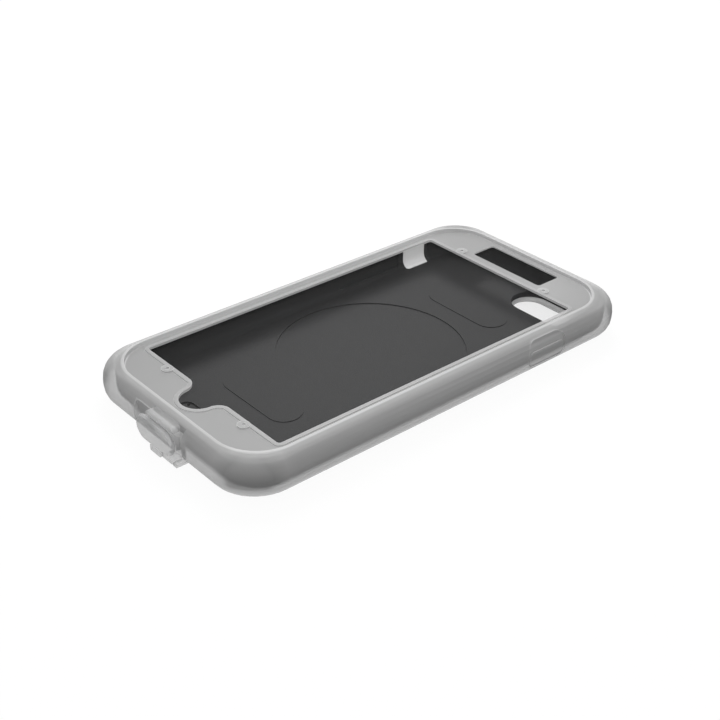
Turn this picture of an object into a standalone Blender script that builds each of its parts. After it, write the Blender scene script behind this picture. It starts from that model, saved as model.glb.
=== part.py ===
"""Bicycle phone case: a hard tray inside a soft see-through weather cover.

The tray holds the phone and carries a twist-lock socket on its back. The cover stretches over the tray:
it has a bezel round a clear window, button pads moulded in its sides, a small clear window over the
camera and a hinged plug at the charging port.

X runs across the phone, Y along it towards its top, and Z up out of its screen. The case lies on its
back, with the socket's hub at Z = 0 and the phone's centre at X = Y = 0. Sizes are in metres.
"""

import math

import bmesh
import bpy
from mathutils import Matrix

COLLECTION = "bicycle_phone_case"
MM = 0.001

# The phone that the case is made for
PHONE_WIDTH = 67.3 * MM
PHONE_LENGTH = 138.4 * MM
PHONE_THICKNESS = 7.1 * MM
PHONE_CORNER = 9.5 * MM
PHONE_EDGE = 2.5 * MM

# Clearances
PHONE_SLACK = 0.25 * MM
FIT = 0.25 * MM
PLUG_FIT = 0.4 * MM
HINGE_GAP = 0.3 * MM
CUT_PAST = 2.0 * MM

# Hard tray
TRAY_WALL = 1.5 * MM
TRAY_FLOOR = 1.8 * MM
TRAY_EDGE = 3.4 * MM
DISH_RADIUS = 28.7 * MM
DISH_DEPTH = 0.3 * MM
PAD_OFFSET = 40.5 * MM
PAD_HALF_LENGTH = 15.2 * MM
PAD_RADIUS = 5.28 * MM
PAD_HEIGHT = 0.2 * MM
FOOT_RECESS_HALF_WIDTH = 12.0 * MM
FOOT_RECESS_FROM_END = 3.2 * MM
FOOT_RECESS_LENGTH = 8.7 * MM
FOOT_RECESS_DEPTH = 0.4 * MM
FOOT_RECESS_CORNER = 2.5 * MM
FOOT_HOLE_RADIUS = 0.5 * MM
FOOT_HOLE_INSET_X = 1.7 * MM
FOOT_HOLE_INSET_Y = 1.2 * MM
END_RELIEF_HALF_WIDTH = 25.0 * MM
END_RELIEF_DEPTH = 0.85 * MM
END_RELIEF_HEIGHT = 3.1 * MM
END_RELIEF_CORNER = 2.0 * MM

# Places in the tray's walls, from the phone's top edge and from the tray's floor
SWITCH_FROM_TOP = 20.15 * MM
SWITCH_LENGTH = 10.9 * MM
SWITCH_TOP = 5.8 * MM
SWITCH_REACH = 2.5 * MM
SWITCH_CORNER = 1.0 * MM
VOLUME_FROM_TOP = 40.7 * MM
VOLUME_LENGTH = 26.0 * MM
POWER_FROM_TOP = 33.85 * MM
POWER_LENGTH = 14.6 * MM
RECESS_LOW = 0.8 * MM
RECESS_HEIGHT = 5.3 * MM
RECESS_DEPTH = 0.6 * MM
RECESS_CORNER = 1.2 * MM

# Camera opening, from the phone's top edge and right side
CAMERA_FROM_TOP = 11.6 * MM
CAMERA_FROM_SIDE = 5.8 * MM
CAMERA_LENGTH = 22.6 * MM
CAMERA_RADIUS = 5.7 * MM
CAMERA_FILM_OVERLAP = 1.2 * MM
CAMERA_POCKET = 0.5 * MM
CAMERA_FILM_GAP = 0.15 * MM
TRAY_CAMERA_WIDER = 0.9 * MM
TRAY_CAMERA_LONGER = 0.45 * MM
TRAY_CAMERA_HIGHER = 1.4 * MM
LEAD_IN_WIDER = 1.8 * MM
LEAD_IN_SHORTER = 0.6 * MM
LEAD_IN_HIGHER = 2.4 * MM
LEAD_IN_DEPTH = 1.3 * MM

# Twist-lock socket on the tray's back
SOCKET_RADIUS = 16.0 * MM
SOCKET_SINK = 1.05 * MM
SOCKET_BASE = 0.4 * MM
SOCKET_LIP = 0.8 * MM
SOCKET_CHANNEL_RADIUS = 12.2 * MM
SOCKET_BORE_RADIUS = 8.7 * MM
SOCKET_HUB_RADIUS = 5.0 * MM
SOCKET_NOTCH_REACH = 12.0 * MM
SOCKET_NOTCH_HALF_WIDTH = 3.0 * MM
SOCKET_NOTCH_CORNER = 0.8 * MM

# Soft cover
COVER_SIDE = 2.8 * MM
COVER_TOP_END = 2.2 * MM
COVER_BOTTOM_END = 3.5 * MM
COVER_BACK = 0.85 * MM
COVER_EDGE = 5.2 * MM
BEZEL = 0.5 * MM
RIM_HEIGHT = 1.2 * MM
RIM_WIDTH = 4.8 * MM
RIM_WIDTH_TOP = 5.5 * MM
RIM_FILLET = 0.3 * MM
RIM_CORNER = 13.0 * MM
BACK_OPENING_HALF_WIDTH = 25.0 * MM
BACK_OPENING_FROM_TOP = 23.2 * MM
BACK_OPENING_FROM_BOTTOM = 17.2 * MM
BACK_OPENING_CORNER = 10.0 * MM

# Openings in the bezel, from the phone's outline
WINDOW_SIDE_MARGIN = 2.85 * MM
WINDOW_TOP_MARGIN = 16.2 * MM
WINDOW_BOTTOM_MARGIN = 11.15 * MM
WINDOW_CORNER = 1.0 * MM
NOTCH_FROM_BOTTOM = 7.8 * MM
NOTCH_RADIUS = 5.6 * MM
NOTCH_SHOULDER = 4.0 * MM
SENSOR_HALF_WIDTH = 14.6 * MM
SENSOR_FROM_TOP = 3.1 * MM
SENSOR_HEIGHT = 9.3 * MM
BEAD_WIDTH = 1.2 * MM
BEAD_HEIGHT = 0.3 * MM
BEAD_ROOT = 0.3 * MM
BEAD_EDGE = 0.22 * MM
EYELET_OFFSET = 18.0 * MM
EYELET_BELOW_WINDOW = 1.75 * MM
EYELET_ABOVE_WINDOW = 2.1 * MM
EYELET_RADIUS = 1.8 * MM
EYELET_HEIGHT = 0.38 * MM
EYELET_HOLE_RADIUS = 0.6 * MM
EYELET_HOLE_DEPTH = 0.3 * MM

# Clear films
FILM = 0.25 * MM
FILM_OVERHANG = 1.35 * MM

# Button pads moulded in the cover's sides
SCOOP_DEPTH = 0.45 * MM
SCOOP_MARGIN = 0.6 * MM
SCOOP_FROM_RIM = 1.2 * MM
SCOOP_CORNER = 3.5 * MM
BUTTON_FROM_RIM = 4.1 * MM
BUTTON_HEIGHT = 4.9 * MM
BUTTON_INSET = 0.15 * MM
BUTTON_ROOT = 1.2 * MM
BUTTON_CORNER = 1.8 * MM
BUTTON_EDGE = 0.6 * MM

# Charging port in the cover's lower end: a flat, a hood over it and the hole that the plug fills
PORT_HEIGHT = 2.5 * MM
TRAY_PORT_HALF_WIDTH = 6.7 * MM
TRAY_PORT_BELOW = 2.2 * MM
TRAY_PORT_ABOVE = 3.3 * MM
TRAY_PORT_CORNER = 2.0 * MM
PORT_HOLE_HALF_WIDTH = 6.7 * MM
PORT_HOLE_HALF_HEIGHT = 3.2 * MM
PORT_FLAT_LEFT = 12.0 * MM
PORT_FLAT_RIGHT = 10.5 * MM
PORT_FLAT_FROM_RIM = 2.1 * MM
PORT_FLAT_DEPTH = 1.5 * MM
PORT_FLAT_CORNER = 1.2 * MM
PORT_FLAT_TURN = 3.6 * MM
HOOD_LEFT = 4.2 * MM
HOOD_FROM_RIM = 1.0 * MM
HOOD_THICKNESS = 1.0 * MM
HOOD_CHEEK = 0.7 * MM
HOOD_LOW = 0.5 * MM
HOOD_PROUD = 1.1 * MM
HOOD_ROOT = 1.7 * MM
HOOD_TURN = 4.6 * MM
HOOD_CORNER = 0.4 * MM
HOOD_BROW = 0.8 * MM
HOOD_END = 2.0 * MM

# Port plug, one flap that swings on its tether at the cover's lower right
PLUG_HALF_WIDTH = 8.6 * MM
PLUG_HALF_HEIGHT = 3.75 * MM
PLUG_RAISE = 0.15 * MM
PLUG_PLATE = 1.9 * MM
PLUG_STANDOFF = 1.6 * MM
PLUG_EDGE = 0.8 * MM
PLUG_REACH = 0.8 * MM
TAB_OFFSET = 0.9 * MM
TAB_HALF_WIDTH = 2.5 * MM
TAB_DROP = 1.5 * MM
TAB_PROUD = 0.05 * MM
TAB_THICKNESS = 1.0 * MM
TAB_ROOT = 0.5 * MM
TAB_CORNER = 0.4 * MM
TETHER_LENGTH = 4.7 * MM
TETHER_DROP = 0.5 * MM
TETHER_HEIGHT = 1.0 * MM
TETHER_PROUD = 0.1 * MM
TETHER_DEPTH = 3.2 * MM
TETHER_CORNER = 0.3 * MM
TETHER_PAST_PLATE = 0.6 * MM
ANCHOR_WIDTH = 1.9 * MM
ANCHOR_ROOT = 1.5 * MM
HINGE_FROM_TETHER = 0.15 * MM

# How finely round shapes are cut
BIG_ARC_STEP = 9.0
SMALL_ARC_STEP = 22.5
SMALL_RADIUS = 3.1 * MM
SECTION_STEPS = 5
EDGE_STEPS = 1
CIRCLE_SIDES = 64
SMALL_CIRCLE_SIDES = 16
WELD = 0.001 * MM
FLAT_ANGLE = 0.5
SHARP_ANGLE = 30.0

# Levels, from the socket's face up
Z_TRAY_BACK = COVER_BACK + FIT
Z_FLOOR = Z_TRAY_BACK + TRAY_FLOOR
Z_FILM = Z_FLOOR + PHONE_THICKNESS
Z_TRAY_TOP = Z_FILM - FIT
Z_BEZEL_UNDER = Z_FILM + FILM + FIT
Z_BEZEL = Z_BEZEL_UNDER + BEZEL
Z_RIM = Z_BEZEL + RIM_HEIGHT
Z_PORT = Z_FLOOR + PORT_HEIGHT
Z_SOCKET_TOP = Z_TRAY_BACK + SOCKET_SINK - FIT
Z_SOCKET_CHANNEL = Z_SOCKET_TOP - SOCKET_BASE

# Outlines, as half widths, half lengths and corner radii
PHONE_X = PHONE_WIDTH / 2
PHONE_Y = PHONE_LENGTH / 2
BAY_X = PHONE_X + PHONE_SLACK
BAY_Y = PHONE_Y + PHONE_SLACK
BAY_CORNER = PHONE_CORNER + PHONE_SLACK
TRAY_X = BAY_X + TRAY_WALL
TRAY_Y = BAY_Y + TRAY_WALL
TRAY_CORNER = BAY_CORNER + TRAY_WALL
HOLLOW_X = TRAY_X + FIT
HOLLOW_Y = TRAY_Y + FIT
HOLLOW_CORNER = TRAY_CORNER + FIT
COVER_X = HOLLOW_X + COVER_SIDE
COVER_Y_TOP = HOLLOW_Y + COVER_TOP_END
COVER_Y_BOTTOM = -(HOLLOW_Y + COVER_BOTTOM_END)
COVER_CORNER = HOLLOW_CORNER + (COVER_SIDE + COVER_TOP_END) / 2

# The port's flat, hood, plug and tether, from the cover's lower end
Y_PORT_FLAT = COVER_Y_BOTTOM + PORT_FLAT_DEPTH
Z_HOOD = Z_RIM - HOOD_FROM_RIM
Y_HOOD = COVER_Y_BOTTOM - HOOD_PROUD
Z_PLUG = Z_PORT + PLUG_RAISE
Y_PLUG_BACK = Y_PORT_FLAT - PLUG_STANDOFF
Y_PLUG_FRONT = Y_PLUG_BACK - PLUG_PLATE
X_TETHER = PLUG_HALF_WIDTH + TETHER_PAST_PLATE
Y_TETHER = Y_PLUG_FRONT - TETHER_PROUD
Z_TETHER = Z_PLUG - PLUG_HALF_HEIGHT - TETHER_DROP
HINGE = (X_TETHER + HINGE_FROM_TETHER, Y_TETHER, Z_TETHER)


def clear_scene():
    """Empties the file of objects and of the collections made here."""
    for item in list(bpy.data.objects):
        bpy.data.objects.remove(item, do_unlink=True)
    for group in list(bpy.data.collections):
        bpy.data.collections.remove(group)


def new_collection(name):
    group = bpy.data.collections.new(name)
    bpy.context.scene.collection.children.link(group)
    return group


def material(name, colour, roughness, alpha=1.0):
    """A plain plastic finish."""
    look = bpy.data.materials.new(name)
    look.use_nodes = True
    shader = look.node_tree.nodes["Principled BSDF"]
    shader.inputs["Base Color"].default_value = (*colour, 1.0)
    shader.inputs["Metallic"].default_value = 0.0
    shader.inputs["Roughness"].default_value = roughness
    shader.inputs["Alpha"].default_value = alpha
    return look


def arc(centre_u, centre_v, radius, start, end):
    """Points along an arc, with its angles in degrees and both ends included."""
    step = SMALL_ARC_STEP if radius < SMALL_RADIUS else BIG_ARC_STEP
    count = max(2, round(abs(end - start) / step))
    points = []
    for index in range(count + 1):
        angle = math.radians(start + (end - start) * index / count)
        points.append((centre_u + radius * math.cos(angle), centre_v + radius * math.sin(angle)))
    return points


def box_outline(low_u, high_u, low_v, high_v, radii):
    """A rectangle, anticlockwise, whose corner radii start at the upper right."""
    limit = 0.499 * min(high_u - low_u, high_v - low_v)
    first, second, third, fourth = (min(radius, limit) for radius in radii)
    points = arc(high_u - first, high_v - first, first, 0, 90)
    points += arc(low_u + second, high_v - second, second, 90, 180)
    points += arc(low_u + third, low_v + third, third, 180, 270)
    points += arc(high_u - fourth, low_v + fourth, fourth, 270, 360)
    return points


def rounded_box(low_u, high_u, low_v, high_v, radius):
    return box_outline(low_u, high_u, low_v, high_v, (radius,) * 4)


def rounded_rectangle(half_x, half_y, radius):
    return rounded_box(-half_x, half_x, -half_y, half_y, radius)


def cover_outline(inset):
    """The cover's outer outline, moved inward all round."""
    return rounded_box(
        -COVER_X + inset, COVER_X - inset, COVER_Y_BOTTOM + inset, COVER_Y_TOP - inset, COVER_CORNER - inset
    )


def window_outline(grow):
    """The main window with its home-button notch, grown outward by the given width.

    Each shoulder starts one step into its arc, so that the straight edges beside the notch aren't in line.
    """
    right = PHONE_X - WINDOW_SIDE_MARGIN + grow
    top = PHONE_Y - WINDOW_TOP_MARGIN + grow
    bottom = -PHONE_Y + WINDOW_BOTTOM_MARGIN - grow
    corner = WINDOW_CORNER + grow
    notch_y = -PHONE_Y + NOTCH_FROM_BOTTOM
    notch = NOTCH_RADIUS + grow
    shoulder = NOTCH_SHOULDER - grow
    shoulder_y = bottom - shoulder
    reach = notch + shoulder
    shoulder_x = math.sqrt(reach**2 - (notch_y - shoulder_y) ** 2)
    tilt = math.degrees(math.asin((shoulder_y - notch_y) / reach))
    points = arc(right - corner, top - corner, corner, 0, 90)
    points += arc(-right + corner, top - corner, corner, 90, 180)
    points += arc(-right + corner, bottom + corner, corner, 180, 270)
    points += arc(-shoulder_x, shoulder_y, shoulder, 90, -tilt)[1:]
    points += arc(0.0, notch_y, notch, 180 + tilt, 360 - tilt)[1:]
    points += arc(shoulder_x, shoulder_y, shoulder, 180 + tilt, 90)[1:-1]
    points += arc(right - corner, bottom + corner, corner, 270, 360)
    return points


def camera_outline(grow, longer=0.0, higher=0.0):
    """The cover's pill-shaped camera hole, at the phone's upper right.

    It can be grown all round, made longer at both ends, and moved towards the phone's top.
    """
    right = PHONE_X - CAMERA_FROM_SIDE + grow + longer
    left = PHONE_X - CAMERA_FROM_SIDE - CAMERA_LENGTH - grow - longer
    middle = PHONE_Y - CAMERA_FROM_TOP + higher
    reach = CAMERA_RADIUS + grow
    return rounded_box(left, right, middle - reach, middle + reach, reach)


def turned_to(axis):
    """The rotation that takes a flat outline's own Z to the named axis of the case."""
    if axis == "X":
        return Matrix(((0, 0, 1), (1, 0, 0), (0, 1, 0))).to_4x4()
    if axis == "Y":
        return Matrix(((1, 0, 0), (0, 0, -1), (0, 1, 0))).to_4x4()
    return Matrix.Identity(4)


def curve_to_mesh(curve_object, group):
    """Swaps a filled curve for its closed mesh, with each flat side as one face."""
    graph = bpy.context.evaluated_depsgraph_get()
    mesh = bpy.data.meshes.new_from_object(curve_object.evaluated_get(graph))
    shape = bmesh.new()
    shape.from_mesh(mesh)
    bmesh.ops.remove_doubles(shape, verts=shape.verts, dist=WELD)
    bmesh.ops.dissolve_limit(
        shape, angle_limit=math.radians(FLAT_ANGLE), verts=shape.verts, edges=shape.edges
    )
    bmesh.ops.transform(shape, matrix=curve_object.matrix_world, verts=shape.verts)
    bmesh.ops.recalc_face_normals(shape, faces=shape.faces)
    shape.to_mesh(mesh)
    shape.free()
    name = curve_object.name
    bpy.data.objects.remove(curve_object, do_unlink=True)
    solid = bpy.data.objects.new(name, mesh)
    group.objects.link(solid)
    return solid


def plate(name, group, outline, low, high, axis="Z", edge=0.0, edge_steps=EDGE_STEPS):
    """A flat outline made thick from low to high along an axis.

    With an edge radius, the outline is that of the flat sides, and the round edge stands outside it.
    """
    curve = bpy.data.curves.new(name, "CURVE")
    curve.dimensions = "2D"
    curve.fill_mode = "BOTH"
    curve.extrude = (high - low) / 2 - edge
    curve.bevel_depth = edge
    curve.bevel_resolution = edge_steps
    spline = curve.splines.new("POLY")
    spline.points.add(len(outline) - 1)
    for point, (u, v) in zip(spline.points, outline):
        point.co = (u, v, 0.0, 1.0)
    spline.use_cyclic_u = True
    item = bpy.data.objects.new(name, curve)
    group.objects.link(item)
    middle = (low + high) / 2
    if axis == "Y":
        middle = -middle
    item.matrix_world = turned_to(axis) @ Matrix.Translation((0, 0, middle))
    bpy.context.view_layer.update()
    return curve_to_mesh(item, group)


def tub(name, group, half_x, half_y, corner, low, top, edge):
    """A block with upright sides, a flat top and a round lower edge."""
    edge = min(edge, top - low - FIT)
    outline = rounded_rectangle(half_x - edge, half_y - edge, corner - edge)
    block = plate(name, group, outline, low, 2 * top - low, edge=edge, edge_steps=SECTION_STEPS)
    shape = bmesh.new()
    shape.from_mesh(block.data)
    everything = shape.verts[:] + shape.edges[:] + shape.faces[:]
    bmesh.ops.bisect_plane(
        shape, geom=everything, dist=WELD, plane_co=(0, 0, top), plane_no=(0, 0, 1), clear_outer=True
    )
    rim = [side for side in shape.edges if side.is_boundary]
    bmesh.ops.contextual_create(shape, geom=rim)
    bmesh.ops.recalc_face_normals(shape, faces=shape.faces)
    shape.to_mesh(block.data)
    shape.free()
    return block


def cylinder(name, group, radius, low, high, x=0.0, y=0.0, sides=CIRCLE_SIDES):
    """An upright cylinder."""
    mesh = bpy.data.meshes.new(name)
    shape = bmesh.new()
    bmesh.ops.create_cone(
        shape, cap_ends=True, segments=sides, radius1=radius, radius2=radius, depth=high - low
    )
    bmesh.ops.translate(shape, vec=(x, y, (low + high) / 2), verts=shape.verts)
    shape.to_mesh(mesh)
    shape.free()
    solid = bpy.data.objects.new(name, mesh)
    group.objects.link(solid)
    return solid


def side_plate(name, group, from_top, length, low_z, high_z, corner, low_x, high_x, edge=0.0):
    """A plate that faces sideways, at a feature on the phone's side."""
    middle = PHONE_Y - from_top
    half = length / 2 - edge
    outline = rounded_box(middle - half, middle + half, low_z + edge, high_z - edge, corner)
    return plate(name, group, outline, low_x, high_x, axis="X", edge=edge)


def end_plate(name, group, low_x, high_x, low_z, high_z, corner, low_y, high_y, edge=0.0):
    """A plate that faces along the phone, at its lower end."""
    outline = rounded_box(low_x + edge, high_x - edge, low_z + edge, high_z - edge, corner)
    return plate(name, group, outline, low_y, high_y, axis="Y", edge=edge)


def combine(part, tool, operation):
    """Adds a live Boolean to the part and hides its tool."""
    tool.hide_render = True
    tool.display_type = "WIRE"
    step = part.modifiers.new(tool.name, "BOOLEAN")
    step.operation = operation
    step.solver = "EXACT"
    step.object = tool


def cut(part, *tools):
    for tool in tools:
        combine(part, tool, "DIFFERENCE")


def add(part, *tools):
    for tool in tools:
        combine(part, tool, "UNION")


def keep_common(part, *tools):
    for tool in tools:
        combine(part, tool, "INTERSECT")


def finish(part, look):
    """Gives the part its material, with smooth round sides and crisp edges."""
    part.data.materials.append(look)
    part.data.shade_smooth()
    part.data.set_sharp_from_angle(angle=math.radians(SHARP_ANGLE))


def make_tray(parts, tools):
    """The hard tray, open at its top, with the sunk and raised marks on its floor."""
    tray = tub("case_tray", parts, TRAY_X, TRAY_Y, TRAY_CORNER, Z_TRAY_BACK, Z_TRAY_TOP, TRAY_EDGE)
    bay = tub(
        "cut_phone_bay", tools, BAY_X, BAY_Y, BAY_CORNER, Z_FLOOR, Z_TRAY_TOP + CUT_PAST, PHONE_EDGE
    )
    dish = cylinder("cut_dish", tools, DISH_RADIUS, Z_FLOOR - DISH_DEPTH, Z_FLOOR + CUT_PAST)
    outline = camera_outline(TRAY_CAMERA_WIDER, TRAY_CAMERA_LONGER, TRAY_CAMERA_HIGHER)
    camera = plate("cut_tray_camera", tools, outline, Z_TRAY_BACK - CUT_PAST, Z_FLOOR + CUT_PAST)
    outline = camera_outline(LEAD_IN_WIDER - LEAD_IN_DEPTH, -LEAD_IN_SHORTER, LEAD_IN_HIGHER)
    lead_in = plate(
        "cut_camera_lead_in", tools, outline, Z_FLOOR - LEAD_IN_DEPTH, Z_FLOOR + CUT_PAST,
        edge=LEAD_IN_DEPTH,
    )
    seat = cylinder(
        "cut_socket_seat", tools, SOCKET_RADIUS + FIT, Z_TRAY_BACK - CUT_PAST, Z_TRAY_BACK + SOCKET_SINK
    )
    cut(tray, bay, dish, camera, lead_in, seat)
    for side in (-1, 1):
        middle = side * PAD_OFFSET
        outline = rounded_box(
            -PAD_HALF_LENGTH, PAD_HALF_LENGTH, middle - PAD_RADIUS, middle + PAD_RADIUS, PAD_RADIUS
        )
        add(tray, plate(f"add_pad_{side:+d}", tools, outline, Z_FLOOR - DISH_DEPTH, Z_FLOOR + PAD_HEIGHT))
    cut_tray_foot(tray, tools)
    cut_tray_walls(tray, tools)
    finish(tray, material("tray_black_plastic", (0.022, 0.022, 0.023), 0.55))


def cut_tray_foot(tray, tools):
    """The shallow recess below the home button, with its small hole."""
    low_y = -PHONE_Y + FOOT_RECESS_FROM_END
    high_y = low_y + FOOT_RECESS_LENGTH
    outline = rounded_box(
        -FOOT_RECESS_HALF_WIDTH, FOOT_RECESS_HALF_WIDTH, low_y, high_y, FOOT_RECESS_CORNER
    )
    recess = plate("cut_foot_recess", tools, outline, Z_FLOOR - FOOT_RECESS_DEPTH, Z_FLOOR + CUT_PAST)
    hole = cylinder(
        "cut_foot_hole", tools, FOOT_HOLE_RADIUS, Z_TRAY_BACK - CUT_PAST, Z_FLOOR + CUT_PAST,
        FOOT_HOLE_INSET_X - FOOT_RECESS_HALF_WIDTH, high_y - FOOT_HOLE_INSET_Y, SMALL_CIRCLE_SIDES,
    )
    cut(tray, recess, hole)


def cut_tray_walls(tray, tools):
    """The switch's opening, the thin places behind the buttons, the port and the end's relief."""
    inner_x = BAY_X - PHONE_EDGE
    middle = PHONE_Y - SWITCH_FROM_TOP
    outline = rounded_box(
        -TRAY_X - CUT_PAST, -BAY_X + SWITCH_REACH, middle - SWITCH_LENGTH / 2, middle + SWITCH_LENGTH / 2,
        SWITCH_CORNER,
    )
    switch = plate("cut_switch", tools, outline, Z_TRAY_BACK - CUT_PAST, Z_FLOOR + SWITCH_TOP)
    low_z = Z_FLOOR + RECESS_LOW
    high_z = low_z + RECESS_HEIGHT
    volume = side_plate(
        "cut_volume_recess", tools, VOLUME_FROM_TOP, VOLUME_LENGTH, low_z, high_z, RECESS_CORNER,
        -BAY_X - RECESS_DEPTH, -inner_x,
    )
    power = side_plate(
        "cut_power_recess", tools, POWER_FROM_TOP, POWER_LENGTH, low_z, high_z, RECESS_CORNER,
        inner_x, BAY_X + RECESS_DEPTH,
    )
    port = end_plate(
        "cut_tray_port", tools, -TRAY_PORT_HALF_WIDTH, TRAY_PORT_HALF_WIDTH,
        Z_PORT - TRAY_PORT_BELOW, Z_PORT + TRAY_PORT_ABOVE, TRAY_PORT_CORNER,
        -TRAY_Y - CUT_PAST, -BAY_Y + PHONE_EDGE,
    )
    relief = end_plate(
        "cut_end_relief", tools, -END_RELIEF_HALF_WIDTH, END_RELIEF_HALF_WIDTH,
        Z_TRAY_BACK - CUT_PAST, Z_TRAY_BACK + END_RELIEF_HEIGHT, END_RELIEF_CORNER,
        -TRAY_Y - CUT_PAST, -TRAY_Y + END_RELIEF_DEPTH,
    )
    cut(tray, switch, volume, power, port, relief)


def make_socket(parts, tools):
    """The round insert that a mount's four-lobed head turns in, behind a lip and round a hub."""
    disc = cylinder("mount_socket", parts, SOCKET_RADIUS, 0.0, Z_SOCKET_TOP)
    channel = cylinder("cut_socket_channel", tools, SOCKET_CHANNEL_RADIUS, SOCKET_LIP, Z_SOCKET_CHANNEL)
    bore = cylinder("cut_socket_bore", tools, SOCKET_BORE_RADIUS, -CUT_PAST, Z_SOCKET_CHANNEL)
    cut(disc, channel, bore)
    for name, half_x, half_y in (
        ("cut_notches_x", SOCKET_NOTCH_REACH, SOCKET_NOTCH_HALF_WIDTH),
        ("cut_notches_y", SOCKET_NOTCH_HALF_WIDTH, SOCKET_NOTCH_REACH),
    ):
        outline = rounded_rectangle(half_x, half_y, SOCKET_NOTCH_CORNER)
        cut(disc, plate(name, tools, outline, -CUT_PAST, Z_SOCKET_CHANNEL))
    middle = (Z_SOCKET_CHANNEL + Z_SOCKET_TOP) / 2
    add(disc, cylinder("add_socket_hub", tools, SOCKET_HUB_RADIUS, 0.0, middle))
    finish(disc, material("socket_grey_plastic", (0.05, 0.05, 0.052), 0.5))


def make_cover(parts, tools):
    """The soft cover: one moulding with a hollow for the tray."""
    edge = min(COVER_EDGE, 0.49 * Z_RIM)
    cover = plate(
        "weather_cover", parts, cover_outline(edge), 0.0, Z_RIM, edge=edge, edge_steps=SECTION_STEPS
    )
    hollow = tub(
        "cut_cover_hollow", tools, HOLLOW_X, HOLLOW_Y, HOLLOW_CORNER, COVER_BACK, Z_BEZEL_UNDER,
        TRAY_EDGE + FIT,
    )
    side = COVER_X - RIM_WIDTH - RIM_FILLET
    outline = rounded_box(
        -side, side, COVER_Y_BOTTOM + RIM_WIDTH + RIM_FILLET, COVER_Y_TOP - RIM_WIDTH_TOP - RIM_FILLET,
        RIM_CORNER - RIM_FILLET,
    )
    face = plate(
        "cut_bezel_face", tools, outline, Z_BEZEL, Z_RIM + CUT_PAST + RIM_FILLET, edge=RIM_FILLET,
    )
    outline = rounded_box(
        -BACK_OPENING_HALF_WIDTH, BACK_OPENING_HALF_WIDTH,
        -PHONE_Y + BACK_OPENING_FROM_BOTTOM, PHONE_Y - BACK_OPENING_FROM_TOP, BACK_OPENING_CORNER,
    )
    back = plate("cut_cover_back", tools, outline, -CUT_PAST, COVER_BACK + CUT_PAST)
    cut(cover, hollow, face, back)
    add_bead_and_eyelets(cover, tools)
    cut_windows(cover, tools)
    add_side_button(cover, tools, "power", 1, POWER_FROM_TOP, POWER_LENGTH)
    add_side_button(cover, tools, "volume", -1, VOLUME_FROM_TOP, VOLUME_LENGTH)
    add_port(cover, tools)
    finish(cover, material("cover_frosted_rubber", (0.42, 0.42, 0.43), 0.45))


def add_bead_and_eyelets(cover, tools):
    """The raised line round the main window, and the four small eyelets beside it."""
    bead = plate(
        "add_bead", tools, window_outline(BEAD_WIDTH - BEAD_EDGE), Z_BEZEL - BEAD_ROOT,
        Z_BEZEL + BEAD_HEIGHT, edge=BEAD_EDGE,
    )
    add(cover, bead)
    rows = (
        ("low", -PHONE_Y + WINDOW_BOTTOM_MARGIN - EYELET_BELOW_WINDOW),
        ("high", PHONE_Y - WINDOW_TOP_MARGIN + EYELET_ABOVE_WINDOW),
    )
    top = Z_BEZEL + EYELET_HEIGHT
    for row, y in rows:
        for side in (-1, 1):
            x = side * EYELET_OFFSET
            boss = cylinder(
                f"add_eyelet_{row}_{side:+d}", tools, EYELET_RADIUS, Z_BEZEL - BEAD_ROOT / 2, top,
                x, y, SMALL_CIRCLE_SIDES,
            )
            dimple = cylinder(
                f"cut_eyelet_{row}_{side:+d}", tools, EYELET_HOLE_RADIUS, top - EYELET_HOLE_DEPTH,
                top + CUT_PAST, x, y, SMALL_CIRCLE_SIDES,
            )
            add(cover, boss)
            cut(cover, dimple)


def cut_windows(cover, tools):
    """The bezel's windows, and the camera's hole in the back with the pocket that its film lies in."""
    low = Z_BEZEL_UNDER - CUT_PAST
    high = Z_RIM + CUT_PAST
    window = plate("cut_window", tools, window_outline(0.0), low, high)
    top = PHONE_Y - SENSOR_FROM_TOP
    outline = rounded_box(
        -SENSOR_HALF_WIDTH, SENSOR_HALF_WIDTH, top - SENSOR_HEIGHT, top, WINDOW_CORNER
    )
    sensor = plate("cut_sensor_window", tools, outline, low, high)
    camera = plate("cut_cover_camera", tools, camera_outline(0.0), -CUT_PAST, COVER_BACK + CUT_PAST)
    pocket = plate(
        "cut_film_pocket", tools, camera_outline(CAMERA_FILM_OVERLAP + FIT), -CUT_PAST, CAMERA_POCKET
    )
    cut(cover, window, sensor, camera, pocket)


def add_side_button(cover, tools, name, side, from_top, length):
    """A shallow scoop that follows the cover's round side, with a button pad standing in it."""
    flat_x = COVER_X - SCOOP_DEPTH
    edge = min(COVER_EDGE, 0.49 * Z_RIM)
    low_x, high_x = sorted((side * (COVER_X - edge), side * (COVER_X + CUT_PAST)))
    top = Z_RIM - BUTTON_FROM_RIM
    scoop = side_plate(
        f"cut_{name}_scoop", tools, from_top, length + 2 * SCOOP_MARGIN,
        top - BUTTON_HEIGHT - SCOOP_MARGIN, Z_RIM - SCOOP_FROM_RIM, SCOOP_CORNER, low_x, high_x,
    )
    core = plate(
        f"keep_{name}_core", tools, cover_outline(edge), SCOOP_DEPTH, Z_RIM - SCOOP_DEPTH,
        edge=edge - SCOOP_DEPTH, edge_steps=SECTION_STEPS,
    )
    cut(scoop, core)
    cut(cover, scoop)
    low_x, high_x = sorted((side * (flat_x - BUTTON_ROOT), side * (COVER_X - BUTTON_INSET)))
    pad = side_plate(
        f"add_{name}_pad", tools, from_top, length, top - BUTTON_HEIGHT, top, BUTTON_CORNER - BUTTON_EDGE,
        low_x, high_x, edge=BUTTON_EDGE,
    )
    add(cover, pad)


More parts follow.
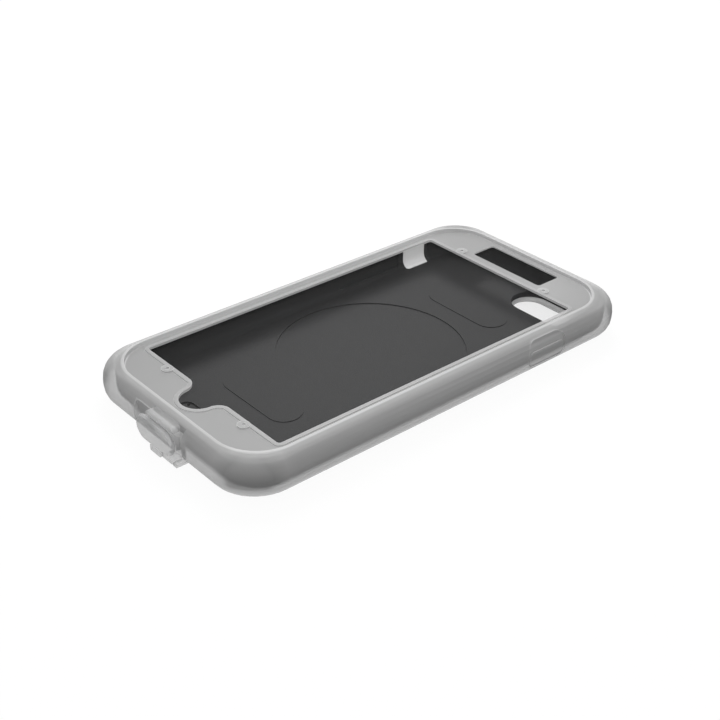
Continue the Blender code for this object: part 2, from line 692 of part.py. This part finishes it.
def add_port(cover, tools):
    """The flat and hole at the charging port, and the block that the tether hangs on."""
    outline = box_outline(
        -PORT_FLAT_LEFT, PORT_FLAT_RIGHT, -CUT_PAST, Z_RIM - PORT_FLAT_FROM_RIM,
        (PORT_FLAT_TURN, PORT_FLAT_CORNER, PORT_FLAT_CORNER, PORT_FLAT_CORNER),
    )
    flat = plate("cut_port_flat", tools, outline, COVER_Y_BOTTOM - CUT_PAST, Y_PORT_FLAT, axis="Y")
    hole = end_plate(
        "cut_port_hole", tools, -PORT_HOLE_HALF_WIDTH, PORT_HOLE_HALF_WIDTH,
        Z_PORT - PORT_HOLE_HALF_HEIGHT, Z_PORT + PORT_HOLE_HALF_HEIGHT, PORT_HOLE_HALF_HEIGHT,
        COVER_Y_BOTTOM - CUT_PAST, -HOLLOW_Y + CUT_PAST,
    )
    cut(cover, flat, hole)
    left = X_TETHER + HINGE_GAP
    anchor = end_plate(
        "add_tether_anchor", tools, left, left + ANCHOR_WIDTH, Z_TETHER, Z_TETHER + TETHER_HEIGHT,
        TETHER_CORNER, Y_TETHER, Y_PORT_FLAT + ANCHOR_ROOT,
    )
    add(cover, make_hood(tools), anchor)


def make_hood(tools):
    """A thin brow over the plug that turns down at its right, with a round front and a round right end."""
    left, right = -HOOD_LEFT, PLUG_HALF_WIDTH + PLUG_FIT
    end = right + HOOD_CHEEK
    low = Z_PLUG - HOOD_LOW
    back = Y_PORT_FLAT + HOOD_ROOT
    outline = box_outline(left, end, low, Z_HOOD, (HOOD_TURN, HOOD_CORNER, HOOD_CORNER, HOOD_CORNER))
    hood = plate("add_port_hood", tools, outline, Y_HOOD, back, axis="Y")
    outline = box_outline(
        Y_HOOD, back + CUT_PAST, low - CUT_PAST, Z_HOOD, (HOOD_CORNER, HOOD_BROW, HOOD_CORNER, HOOD_CORNER)
    )
    front = plate("keep_hood_front", tools, outline, left - CUT_PAST, end + CUT_PAST, axis="X")
    outline = box_outline(
        left - CUT_PAST, end, Y_HOOD, back + CUT_PAST, (HOOD_CORNER, HOOD_CORNER, HOOD_CORNER, HOOD_END)
    )
    plan = plate("keep_hood_plan", tools, outline, low - CUT_PAST, Z_HOOD + CUT_PAST)
    turn = HOOD_TURN - HOOD_CHEEK
    outline = box_outline(
        left - CUT_PAST, right, low - CUT_PAST, Z_HOOD - HOOD_THICKNESS,
        (turn, HOOD_CORNER, HOOD_CORNER, HOOD_CORNER),
    )
    arch = plate("cut_hood_arch", tools, outline, Y_HOOD - CUT_PAST, back + CUT_PAST, axis="Y")
    keep_common(hood, front, plan)
    cut(hood, arch)
    return hood


def make_front_film(parts):
    """The clear sheet between the tray's top and the bezel."""
    outline = rounded_rectangle(
        PHONE_X + FILM_OVERHANG, PHONE_Y + FILM_OVERHANG, PHONE_CORNER + FILM_OVERHANG
    )
    film = plate("front_window", parts, outline, Z_FILM, Z_FILM + FILM)
    finish(film, material("clear_film", (0.9, 0.9, 0.9), 0.08, alpha=0.15))


def make_camera_film(parts):
    """The clear sheet that fills the shallow pocket round the camera's hole in the cover's back."""
    high = CAMERA_POCKET - CAMERA_FILM_GAP
    film = plate("camera_window", parts, camera_outline(CAMERA_FILM_OVERLAP), high - FILM, high)
    finish(film, material("clear_camera_film", (0.9, 0.9, 0.9), 0.08, alpha=0.15))


def make_plug(parts, tools):
    """The flap, its plug body, pull tab and tether, with its origin on its hinge."""
    low_z = Z_PLUG - PLUG_HALF_HEIGHT
    plug = end_plate(
        "port_plug", parts, -PLUG_HALF_WIDTH, PLUG_HALF_WIDTH, low_z, Z_PLUG + PLUG_HALF_HEIGHT,
        PLUG_HALF_HEIGHT - PLUG_EDGE, Y_PLUG_FRONT, Y_PLUG_BACK, edge=PLUG_EDGE,
    )
    half_width = PORT_HOLE_HALF_WIDTH - PLUG_FIT
    half_height = PORT_HOLE_HALF_HEIGHT - PLUG_FIT
    body = end_plate(
        "add_plug_body", tools, -half_width, half_width, Z_PORT - half_height, Z_PORT + half_height,
        half_height, (Y_PLUG_FRONT + Y_PLUG_BACK) / 2, Y_PORT_FLAT + PLUG_REACH,
    )
    tab = end_plate(
        "add_pull_tab", tools, TAB_OFFSET - TAB_HALF_WIDTH, TAB_OFFSET + TAB_HALF_WIDTH,
        low_z - TAB_DROP, low_z + TAB_ROOT, TAB_CORNER,
        Y_PLUG_FRONT - TAB_PROUD, Y_PLUG_FRONT - TAB_PROUD + TAB_THICKNESS,
    )
    tether = end_plate(
        "add_tether", tools, X_TETHER - TETHER_LENGTH, X_TETHER, Z_TETHER, Z_TETHER + TETHER_HEIGHT,
        TETHER_CORNER, Y_TETHER, Y_TETHER + TETHER_DEPTH,
    )
    add(plug, body, tab, tether)
    plug.data.transform(Matrix.Translation(HINGE).inverted())
    plug.location = HINGE
    finish(plug, material("plug_frosted_rubber", (0.5, 0.5, 0.51), 0.45))


def main():
    clear_scene()
    parts = new_collection(COLLECTION)
    tools = new_collection("cutters")
    make_tray(parts, tools)
    make_socket(parts, tools)
    make_cover(parts, tools)
    make_front_film(parts)
    make_camera_film(parts)
    make_plug(parts, tools)


main()
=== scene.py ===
import math

import bpy
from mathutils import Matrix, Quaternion, Vector


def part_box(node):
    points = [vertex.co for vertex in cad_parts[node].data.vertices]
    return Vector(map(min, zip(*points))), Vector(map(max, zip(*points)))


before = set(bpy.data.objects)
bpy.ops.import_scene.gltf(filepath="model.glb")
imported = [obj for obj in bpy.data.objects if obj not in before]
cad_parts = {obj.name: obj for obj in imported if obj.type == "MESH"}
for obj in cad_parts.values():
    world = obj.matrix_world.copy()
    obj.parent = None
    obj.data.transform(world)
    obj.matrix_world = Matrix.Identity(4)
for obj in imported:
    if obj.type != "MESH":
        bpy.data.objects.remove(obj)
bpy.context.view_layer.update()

# The photograph's camera, in metres in the case's own frame
CAMERA_PLACE = Vector((0.24426, -0.21564, 0.19809))
CAMERA_TARGET = Vector((0.012586, -0.015228, 0.0110))
CAMERA_ROLL = 0.586
CAMERA_LENS = 63.43
CAMERA_NEAR = 0.01
SENSOR_WIDTH = 36.0

# Light: the sky's level at the horizon and overhead, what gloss mirrors of it,
# the floor's share of its own white and how much light it throws back, and one soft lamp
SKY_LOW = 0.30
SKY_HIGH = 0.95
SKY_IN_GLOSS = 0.45
FLOOR_GLOW = 0.95
FLOOR_BOUNCE = 0.15
FLOOR_ROUGHNESS = 0.9
FLOOR_SIZE = 3.0
FLOOR_HEIGHT = -0.0002
LAMP_PLACE = (-0.36, 0.30, 0.50)
LAMP_POWER = 3.2
LAMP_SIZE = 0.30

MM = 0.001

# The rubber: its own colour and gloss, and the light that comes through it from behind
RUBBER = 0.70
RUBBER_ROUGHNESS = 0.42
RUBBER_IOR = 1.42
RUBBER_GLOW = 0.30
GLOW_COLOUR = (0.85, 0.85, 0.85)
GLOW_SOLID = 0.7

# The plug's rubber, thinner and clearer
PLUG_COLOUR = (0.80, 0.80, 0.805)
PLUG_ROUGHNESS = 0.32
PLUG_ALPHA = 0.4
PLUG_GLOW = 0.15
PLUG_GLOW_COLOUR = (0.80, 0.80, 0.80)

# The hard plastics and the film
TRAY_COLOUR = (0.031, 0.031, 0.032)
TRAY_ROUGHNESS = 0.62
TRAY_ROUGHNESS_LOW = 0.52
TRAY_ROUGHNESS_HIGH = 0.7
TRAY_SPECULAR = 0.15
SOCKET_COLOUR = (0.07, 0.07, 0.072)
SOCKET_ROUGHNESS = 0.5
FILM_COLOUR = (0.05, 0.05, 0.05)
FILM_ROUGHNESS = 0.45
FILM_ROUGHNESS_LOW = 0.40
FILM_ROUGHNESS_HIGH = 0.50
FILM_SPECULAR = 0.25
FILM_ALPHA = 0.05

# Grain, in features per metre, and how strong and how high its bumps are
RUBBER_GRAIN = 5200.0
RUBBER_BUMP = 0.08
RUBBER_BUMP_HEIGHT = 0.02 * MM
PLASTIC_GRAIN = 3200.0
TRAY_BUMP = 0.25
SOCKET_BUMP = 0.2
PLASTIC_BUMP_HEIGHT = 0.03 * MM
FILM_GRAIN = 900.0

# The cover's rim, measured in from its outline, and how solid the rubber looks in each place
COVER_END = 74.7 * MM
RIM_WIDTH = 4.8 * MM
RIM_WIDTH_TOP = 5.5 * MM
RIM_CORNER = 13.0 * MM
BEZEL_ALPHA = 0.43
BEAD_ALPHA = 0.52
RIM_SOLID_AND_HIGHLIGHT_ALPHA = 0.80
WALL_ALPHA = 0.66
FOOT_ALPHA = 0.25
LEDGE_ALPHA = 0.70
BEZEL_TOP = 11.0 * MM
INSIDE_RIM = -0.5 * MM
LEDGE_TOP = 3.0 * MM

# The same as (place, level) stops: outward from the rim's crest, by height at the foot, and by height on the
# raised line and the eyelets. The crest's band is thicker, more solid rubber and also a painted highlight
RIM_STOPS = (
    (-0.6 * MM, BEZEL_ALPHA), (-0.2 * MM, RIM_SOLID_AND_HIGHLIGHT_ALPHA), (0.6 * MM, RIM_SOLID_AND_HIGHLIGHT_ALPHA), (1.0 * MM, 0.72 * WALL_ALPHA),
    (2.6 * MM, 0.82 * WALL_ALPHA), (4.0 * MM, WALL_ALPHA),
)
FOOT_STOPS = ((0.7 * MM, FOOT_ALPHA), (2.0 * MM, 0.60), (3.2 * MM, 0.85), (3.8 * MM, 1.0))
RAISED_STOPS = ((BEZEL_TOP + 0.1 * MM, 0.0), (BEZEL_TOP + 0.25 * MM, BEAD_ALPHA))

# The round corners work as a lens that fills them with the dark tray; here that view is painted onto the
# rubber as a dark colour, with painted shade that makes it darker low down: how light they look from low to
# high, how much of the rubber they take, and where that starts by corner, by distance from the crest and by
# height
OUTER_CORNER = 14.0 * MM
CORE_PAINTED_LOW = 0.31
CORE_PAINTED_HIGH = 0.42
CORE_SHARE = 0.85
WALL_SHEEN = 0.5
SHEEN_ROUGHNESS = 0.25
CORE_CORNER_STOPS = ((0.0, 0.0), (0.36, CORE_SHARE))
CORE_WALL_STOPS = ((0.6 * MM, 0.0), (2.2 * MM, 1.0))
CORE_HEIGHT_STOPS = ((2.0 * MM, 0.0), (4.8 * MM, 1.0))
CORE_SHADE_STOPS = ((3.5 * MM, CORE_PAINTED_LOW), (10.0 * MM, CORE_PAINTED_HIGH))

# The place round the charging port, where the flat and the hood stand, and how solid they look; the flat under
# the hood is made more solid, which paints it lighter than the hood's shade leaves it
HOOD_LEFT = 4.4 * MM
PORT_LEFT = 12.3 * MM
PORT_RIGHT = 10.4 * MM
PORT_TOP = 10.3 * MM
HOOD_REACH = 2.2 * MM
FLAT_REACH = 2.0 * MM
FLAT_PAINTED_LIGHT_ALPHA = 0.85
HOOD_ALPHA = 0.50
HOOD_DIMMER = 0.22

# The place of the power button's scoop, and how solid it looks
PAD_INSIDE = 36.0 * MM
PAD_LOW = 27.3 * MM
PAD_HIGH = 43.4 * MM
PAD_ALPHA = 0.80
PAD_STOPS = ((-1.0 * MM, PAD_ALPHA), (0.2 * MM, 0.0))

# How far in from a crisp edge the rubber is made more solid, which paints a highlight along the edge, and by
# how much
EDGE_HIGHLIGHT_WIDTH = 0.35 * MM
EDGE_HIGHLIGHT_GAIN = 2.5
EDGE_SAMPLES = 6

# Vertices nearer than this are joined, and edges sharper than this many degrees stay crisp
WELD = 0.002 * MM
CRISP_ANGLE = 32.0


def shader_of(material):
    return material.node_tree.nodes["Principled BSDF"]


def new_material(name, colour, roughness):
    """A material whose Principled shader has the given colour and roughness."""
    material = bpy.data.materials.new(name)
    material.use_nodes = True
    shader = shader_of(material)
    shader.inputs["Base Color"].default_value = (*colour, 1.0)
    shader.inputs["Roughness"].default_value = roughness
    return material


def add_noise(material, scale, detail):
    """A noise texture in the case's own coordinates, with its size given as features per metre."""
    tree = material.node_tree
    place = tree.nodes.new("ShaderNodeTexCoord")
    noise = tree.nodes.new("ShaderNodeTexNoise")
    noise.inputs["Scale"].default_value = scale
    noise.inputs["Detail"].default_value = detail
    tree.links.new(place.outputs["Object"], noise.inputs["Vector"])
    return noise


def add_bump(material, noise, strength, distance):
    """Bump from a noise texture."""
    tree = material.node_tree
    bump = tree.nodes.new("ShaderNodeBump")
    bump.inputs["Strength"].default_value = strength
    bump.inputs["Distance"].default_value = distance
    tree.links.new(noise.outputs["Fac"], bump.inputs["Height"])
    tree.links.new(bump.outputs["Normal"], shader_of(material).inputs["Normal"])


def vary(material, noise, socket, low, high):
    """Lets a noise texture vary a shader's socket between two values."""
    tree = material.node_tree
    span = tree.nodes.new("ShaderNodeMapRange")
    span.inputs["To Min"].default_value = low
    span.inputs["To Max"].default_value = high
    tree.links.new(noise.outputs["Fac"], span.inputs["Value"])
    tree.links.new(span.outputs["Result"], shader_of(material).inputs[socket])


def smooth_group():
    """Welds a mesh and makes its gently bent edges smooth, with its crisp edges kept."""
    group = bpy.data.node_groups.new("smooth_by_angle", "GeometryNodeTree")
    group.interface.new_socket("Geometry", in_out="INPUT", socket_type="NodeSocketGeometry")
    group.interface.new_socket("Geometry", in_out="OUTPUT", socket_type="NodeSocketGeometry")
    nodes, links = group.nodes, group.links
    start = nodes.new("NodeGroupInput")
    end = nodes.new("NodeGroupOutput")
    weld = nodes.new("GeometryNodeMergeByDistance")
    weld.inputs["Distance"].default_value = WELD
    plain = nodes.new("GeometryNodeRemoveAttribute")
    plain.inputs["Name"].default_value = "custom_normal"
    faces = nodes.new("GeometryNodeSetShadeSmooth")
    faces.domain = "FACE"
    faces.inputs["Shade Smooth"].default_value = True
    angle = nodes.new("GeometryNodeInputMeshEdgeAngle")
    crisp = nodes.new("FunctionNodeCompare")
    crisp.data_type = "FLOAT"
    crisp.operation = "GREATER_THAN"
    crisp.inputs["B"].default_value = math.radians(CRISP_ANGLE)
    edges = nodes.new("GeometryNodeSetShadeSmooth")
    edges.domain = "EDGE"
    edges.inputs["Shade Smooth"].default_value = False
    links.new(start.outputs[0], weld.inputs["Geometry"])
    links.new(weld.outputs[0], plain.inputs["Geometry"])
    links.new(plain.outputs[0], faces.inputs["Geometry"])
    links.new(faces.outputs[0], edges.inputs["Geometry"])
    links.new(angle.outputs["Unsigned Angle"], crisp.inputs["A"])
    links.new(crisp.outputs["Result"], edges.inputs["Selection"])
    links.new(edges.outputs[0], end.inputs[0])
    return group


def dress(node, material):
    """Gives a CAD node its material, and smooth round surfaces."""
    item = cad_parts[node]
    item.data.materials.clear()
    item.data.materials.append(material)
    step = item.modifiers.new("smooth", "NODES")
    step.node_group = smooth_edges
    weight = item.modifiers.new("flat faces stay flat", "WEIGHTED_NORMAL")
    weight.keep_sharp = True


def math_node(tree, operation, first, second=None):
    """A math node whose inputs are sockets or numbers, and its output."""
    node = tree.nodes.new("ShaderNodeMath")
    node.operation = operation
    for socket, value in zip(node.inputs, (first, second)):
        if value is None:
            continue
        if isinstance(value, (int, float)):
            socket.default_value = value
        else:
            tree.links.new(value, socket)
    return node.outputs[0]


def coordinates(tree):
    """The sockets of a point's X, Y and Z in the case's own frame."""
    place = tree.nodes.new("ShaderNodeTexCoord")
    parts = tree.nodes.new("ShaderNodeSeparateXYZ")
    tree.links.new(place.outputs["Object"], parts.inputs[0])
    return parts.outputs


def outside_distance(tree, low_x, high_x, low_y, high_y, radius):
    """How far a point lies outside a rounded rectangle in X and Y; inside it the distance is negative."""
    parts = coordinates(tree)
    past = []
    for axis, low, high in (("X", low_x, high_x), ("Y", low_y, high_y)):
        centred = math_node(tree, "SUBTRACT", parts[axis], (low + high) / 2)
        size = math_node(tree, "ABSOLUTE", centred)
        past.append(math_node(tree, "SUBTRACT", size, (high - low) / 2 - radius))
    out_x = math_node(tree, "MAXIMUM", past[0], 0.0)
    out_y = math_node(tree, "MAXIMUM", past[1], 0.0)
    square_x = math_node(tree, "MULTIPLY", out_x, out_x)
    square_y = math_node(tree, "MULTIPLY", out_y, out_y)
    corner = math_node(tree, "SQRT", math_node(tree, "ADD", square_x, square_y))
    inner = math_node(tree, "MINIMUM", math_node(tree, "MAXIMUM", past[0], past[1]), 0.0)
    return math_node(tree, "SUBTRACT", math_node(tree, "ADD", corner, inner), radius)


def corner_share(tree, half_x, low_y, high_y, radius):
    """0 along the sides of a rounded rectangle, rising to 0.5 in the middle of its corners."""
    parts = coordinates(tree)
    shares = []
    for axis, middle, half in (("X", 0.0, half_x), ("Y", (low_y + high_y) / 2, (high_y - low_y) / 2)):
        size = math_node(tree, "ABSOLUTE", math_node(tree, "SUBTRACT", parts[axis], middle))
        past = math_node(tree, "MAXIMUM", math_node(tree, "SUBTRACT", size, half - radius), 0.0)
        shares.append(math_node(tree, "DIVIDE", past, radius))
    return math_node(tree, "MULTIPLY", *shares)


def ramp(tree, value, stops):
    """A curve through (place, level) stops, with straight lines between them."""
    first, last = stops[0][0], stops[-1][0]
    span = tree.nodes.new("ShaderNodeMapRange")
    span.inputs["From Min"].default_value = first
    span.inputs["From Max"].default_value = last
    tree.links.new(value, span.inputs["Value"])
    band = tree.nodes.new("ShaderNodeValToRGB")
    colours = band.color_ramp.elements
    while len(colours) < len(stops):
        colours.new(0.5)
    for element, (place, level) in zip(colours, stops):
        element.position = (place - first) / (last - first)
        element.color = (level, level, level, 1.0)
    tree.links.new(span.outputs["Result"], band.inputs["Fac"])
    return band.outputs["Color"]


def near_edges(tree, width):
    """1 at a crisp edge and 0 away from it."""
    true_normal = tree.nodes.new("ShaderNodeNewGeometry")
    bevel = tree.nodes.new("ShaderNodeBevel")
    bevel.samples = EDGE_SAMPLES
    bevel.inputs["Radius"].default_value = width
    agree = tree.nodes.new("ShaderNodeVectorMath")
    agree.operation = "DOT_PRODUCT"
    tree.links.new(true_normal.outputs["Normal"], agree.inputs[0])
    tree.links.new(bevel.outputs["Normal"], agree.inputs[1])
    return math_node(tree, "SUBTRACT", 1.0, agree.outputs["Value"])


def let_light_through(material, share, colour):
    """Mixes in light that comes through from behind, as in frosted rubber, by a number's or socket's share."""
    tree = material.node_tree
    glow = tree.nodes.new("ShaderNodeBsdfTranslucent")
    glow.inputs["Color"].default_value = (*colour, 1.0)
    clear = tree.nodes.new("ShaderNodeBsdfTransparent")
    glow_alpha = tree.nodes.new("ShaderNodeMixShader")
    tree.links.new(clear.outputs[0], glow_alpha.inputs[1])
    tree.links.new(glow.outputs[0], glow_alpha.inputs[2])
    glow_alpha.inputs["Fac"].default_value = GLOW_SOLID
    mix = tree.nodes.new("ShaderNodeMixShader")
    tree.links.new(math_node(tree, "MULTIPLY", share, 1.0), mix.inputs["Fac"])
    tree.links.new(shader_of(material).outputs[0], mix.inputs[1])
    tree.links.new(glow_alpha.outputs[0], mix.inputs[2])
    tree.links.new(mix.outputs[0], tree.nodes["Material Output"].inputs["Surface"])


def cover_material():
    """Frosted soft rubber: clearer in its thin bezel and at its foot, more solid along its thick rim with a
    painted highlight on the crest, with a painted dark core and painted shade in its round corners, and
    painted lighter at crisp edges and on the flat under the hood.
    """
    material = new_material("frosted_cover", (RUBBER,) * 3, RUBBER_ROUGHNESS)
    tree = material.node_tree
    shader = shader_of(material)
    shader.inputs["IOR"].default_value = RUBBER_IOR

    def calc(operation, first, second):
        return math_node(tree, operation, first, second)

    low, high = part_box("weather_cover")
    bottom = -COVER_END
    height = coordinates(tree)["Z"]
    from_rim = outside_distance(
        tree, low.x + RIM_WIDTH, high.x - RIM_WIDTH, bottom + RIM_WIDTH, high.y - RIM_WIDTH_TOP, RIM_CORNER
    )
    inside = calc("LESS_THAN", from_rim, INSIDE_RIM)
    below_port_top = calc("LESS_THAN", height, PORT_TOP)

    # The painted dark core of the round corners, standing in for the dark tray seen through the rubber
    corner = ramp(tree, corner_share(tree, high.x, bottom, high.y, OUTER_CORNER), CORE_CORNER_STOPS)
    wall = ramp(tree, from_rim, CORE_WALL_STOPS)
    painted_dark_core = calc("MULTIPLY", calc("MULTIPLY", corner, wall), ramp(tree, height, CORE_HEIGHT_STOPS))

    # The places of the hood, of the flat place under it and of the power button's scoop
    out_of_hood = outside_distance(tree, -HOOD_LEFT, PORT_RIGHT, 2 * bottom, bottom + HOOD_REACH, 0.0)
    hood = calc("MULTIPLY", calc("LESS_THAN", out_of_hood, 0.0), calc("GREATER_THAN", height, PORT_TOP))
    out_of_flat = outside_distance(tree, -PORT_LEFT, PORT_RIGHT, 2 * bottom, bottom + FLAT_REACH, 0.0)
    flat = calc("MULTIPLY", calc("LESS_THAN", out_of_flat, 0.0), below_port_top)
    out_of_pad = outside_distance(tree, PAD_INSIDE, COVER_END, PAD_LOW, PAD_HIGH, 0.0)
    pad = calc("MULTIPLY", ramp(tree, out_of_pad, PAD_STOPS), below_port_top)

    # How solid the rubber looks
    raised = calc("MULTIPLY", ramp(tree, height, RAISED_STOPS), inside)
    # The rim's crest band: thicker rubber, and a painted highlight
    solid = calc("MAXIMUM", ramp(tree, from_rim, RIM_STOPS), raised)
    # Painted light: the flat under the hood is made more solid, and so lighter, where it lies in the hood's
    # shade
    solid = calc("MAXIMUM", solid, calc("MULTIPLY", flat, FLAT_PAINTED_LIGHT_ALPHA))
    solid = calc("MAXIMUM", solid, pad)
    hood_limit = calc("SUBTRACT", 1.0, calc("MULTIPLY", hood, 1.0 - HOOD_ALPHA))
    solid = calc("MINIMUM", solid, hood_limit)
    alpha = calc("MULTIPLY", solid, ramp(tree, height, FOOT_STOPS))
    ledge = calc("MULTIPLY", inside, calc("LESS_THAN", height, LEDGE_TOP))
    alpha = calc("MAXIMUM", alpha, calc("MULTIPLY", ledge, LEDGE_ALPHA))
    # The painted dark core is also made solid
    alpha = calc("MAXIMUM", alpha, painted_dark_core)
    # Painted highlight: the rubber is made more solid, and so lighter, along crisp edges
    edges = calc("MULTIPLY", near_edges(tree, EDGE_HIGHLIGHT_WIDTH), EDGE_HIGHLIGHT_GAIN)
    alpha = calc("MINIMUM", calc("ADD", alpha, edges), 1.0)
    tree.links.new(alpha, shader.inputs["Alpha"])

    # Its colour, with the painted dark core and its painted shade (darker low down), its sheen and grain, and
    # the light that comes through outside the painted dark core
    tint = tree.nodes.new("ShaderNodeMix")
    dimmed = calc("SUBTRACT", RUBBER, calc("MULTIPLY", hood, HOOD_DIMMER))
    tree.links.new(painted_dark_core, tint.inputs["Factor"])
    tree.links.new(dimmed, tint.inputs["A"])
    tree.links.new(ramp(tree, height, CORE_SHADE_STOPS), tint.inputs["B"])
    tree.links.new(tint.outputs["Result"], shader.inputs["Base Color"])
    tree.links.new(calc("MULTIPLY", painted_dark_core, WALL_SHEEN), shader.inputs["Sheen Weight"])
    shader.inputs["Sheen Roughness"].default_value = SHEEN_ROUGHNESS
    noise = add_noise(material, RUBBER_GRAIN, detail=2.0)
    add_bump(material, noise, RUBBER_BUMP, RUBBER_BUMP_HEIGHT)
    through = calc("MULTIPLY", calc("SUBTRACT", 1.0, painted_dark_core), RUBBER_GLOW)
    let_light_through(material, through, GLOW_COLOUR)
    return material


def plug_material():
    """The same rubber, thinner and clearer."""
    material = new_material("frosted_plug", PLUG_COLOUR, PLUG_ROUGHNESS)
    shader = shader_of(material)
    shader.inputs["Alpha"].default_value = PLUG_ALPHA
    shader.inputs["IOR"].default_value = RUBBER_IOR
    noise = add_noise(material, RUBBER_GRAIN, detail=2.0)
    add_bump(material, noise, RUBBER_BUMP, RUBBER_BUMP_HEIGHT)
    let_light_through(material, PLUG_GLOW, PLUG_GLOW_COLOUR)
    return material


def tray_material():
    """Dark moulded plastic with a fine matte grain."""
    material = new_material("tray_plastic", TRAY_COLOUR, TRAY_ROUGHNESS)
    shader_of(material).inputs["Specular IOR Level"].default_value = TRAY_SPECULAR
    noise = add_noise(material, PLASTIC_GRAIN, detail=3.0)
    add_bump(material, noise, TRAY_BUMP, PLASTIC_BUMP_HEIGHT)
    vary(material, noise, "Roughness", TRAY_ROUGHNESS_LOW, TRAY_ROUGHNESS_HIGH)
    return material


def socket_material():
    """Dark grey moulded plastic."""
    material = new_material("socket_plastic", SOCKET_COLOUR, SOCKET_ROUGHNESS)
    noise = add_noise(material, PLASTIC_GRAIN, detail=3.0)
    add_bump(material, noise, SOCKET_BUMP, PLASTIC_BUMP_HEIGHT)
    return material


def film_material():
    """Clear film that dims what is behind it a little, with a faint broad sheen."""
    material = new_material("clear_film", FILM_COLOUR, FILM_ROUGHNESS)
    shader = shader_of(material)
    shader.inputs["Alpha"].default_value = FILM_ALPHA
    shader.inputs["Specular IOR Level"].default_value = FILM_SPECULAR
    noise = add_noise(material, FILM_GRAIN, detail=1.0)
    vary(material, noise, "Roughness", FILM_ROUGHNESS_LOW, FILM_ROUGHNESS_HIGH)
    return material


def make_camera():
    """The photograph's view."""
    data = bpy.data.cameras.new("camera")
    data.sensor_width = SENSOR_WIDTH
    data.lens = CAMERA_LENS
    data.clip_start = CAMERA_NEAR
    camera = bpy.data.objects.new("camera", data)
    bpy.context.scene.collection.objects.link(camera)
    camera.location = CAMERA_PLACE
    look = (CAMERA_TARGET - CAMERA_PLACE).to_track_quat("-Z", "Y")
    roll = Quaternion((0.0, 0.0, 1.0), math.radians(CAMERA_ROLL))
    camera.rotation_mode = "QUATERNION"
    camera.rotation_quaternion = look @ roll
    bpy.context.scene.camera = camera


def seen_directly(tree):
    """The light path node, and 1 for a ray from the camera or seen through something, 0 for other light."""
    path = tree.nodes.new("ShaderNodeLightPath")
    seen = math_node(tree, "MAXIMUM", path.outputs["Is Camera Ray"], path.outputs["Is Transmission Ray"])
    return path, seen


def make_world():
    """White where it is seen, and elsewhere a plain soft light that is brightest overhead."""
    world = bpy.data.worlds.new("world")
    bpy.context.scene.world = world
    world.use_nodes = True
    tree = world.node_tree
    background = tree.nodes["Background"]
    background.inputs["Color"].default_value = (1.0, 1.0, 1.0, 1.0)
    path, seen = seen_directly(tree)
    place = tree.nodes.new("ShaderNodeTexCoord")
    parts = tree.nodes.new("ShaderNodeSeparateXYZ")
    sky = tree.nodes.new("ShaderNodeMapRange")
    sky.inputs["To Min"].default_value = SKY_LOW
    sky.inputs["To Max"].default_value = SKY_HIGH
    gloss = tree.nodes.new("ShaderNodeMix")
    gloss.inputs["B"].default_value = SKY_IN_GLOSS
    level = tree.nodes.new("ShaderNodeMix")
    level.inputs["B"].default_value = 1.0
    tree.links.new(place.outputs["Generated"], parts.inputs[0])
    tree.links.new(parts.outputs["Z"], sky.inputs["Value"])
    tree.links.new(path.outputs["Is Glossy Ray"], gloss.inputs["Factor"])
    tree.links.new(sky.outputs["Result"], gloss.inputs["A"])
    tree.links.new(seen, level.inputs["Factor"])
    tree.links.new(gloss.outputs["Result"], level.inputs["A"])
    tree.links.new(level.outputs["Result"], background.inputs["Strength"])


def make_floor():
    """A white floor that keeps the object's shadow."""
    bpy.ops.mesh.primitive_plane_add(size=FLOOR_SIZE, location=(0.0, 0.0, FLOOR_HEIGHT))
    floor = bpy.context.object
    floor.name = "floor"
    material = new_material("floor_white", (FLOOR_BOUNCE,) * 3, FLOOR_ROUGHNESS)
    tree = material.node_tree
    white = tree.nodes.new("ShaderNodeBsdfDiffuse")
    white.inputs["Color"].default_value = (1.0, 1.0, 1.0, 1.0)
    glow = tree.nodes.new("ShaderNodeEmission")
    seen = tree.nodes.new("ShaderNodeMixShader")
    seen.inputs["Fac"].default_value = FLOOR_GLOW
    tree.links.new(white.outputs[0], seen.inputs[1])
    tree.links.new(glow.outputs[0], seen.inputs[2])
    mix = tree.nodes.new("ShaderNodeMixShader")
    tree.links.new(seen_directly(tree)[1], mix.inputs["Fac"])
    tree.links.new(shader_of(material).outputs[0], mix.inputs[1])
    tree.links.new(seen.outputs[0], mix.inputs[2])
    tree.links.new(mix.outputs[0], tree.nodes["Material Output"].inputs["Surface"])
    floor.data.materials.append(material)


def make_lamp(name, place, power, size):
    """A square soft lamp that faces the middle of the case."""
    data = bpy.data.lights.new(name, "AREA")
    data.energy = power
    data.size = size
    lamp = bpy.data.objects.new(name, data)
    bpy.context.scene.collection.objects.link(lamp)
    lamp.location = place
    lamp.rotation_mode = "QUATERNION"
    lamp.rotation_quaternion = (-Vector(place)).to_track_quat("-Z", "Y")


smooth_edges = smooth_group()
dress("case_tray", tray_material())
dress("mount_socket", socket_material())
dress("weather_cover", cover_material())
dress("port_plug", plug_material())
film = film_material()
dress("front_window", film)
dress("camera_window", film)

make_camera()
make_world()
make_floor()
make_lamp("key", LAMP_PLACE, LAMP_POWER, LAMP_SIZE)

bpy.context.scene.view_settings.view_transform = "Standard"
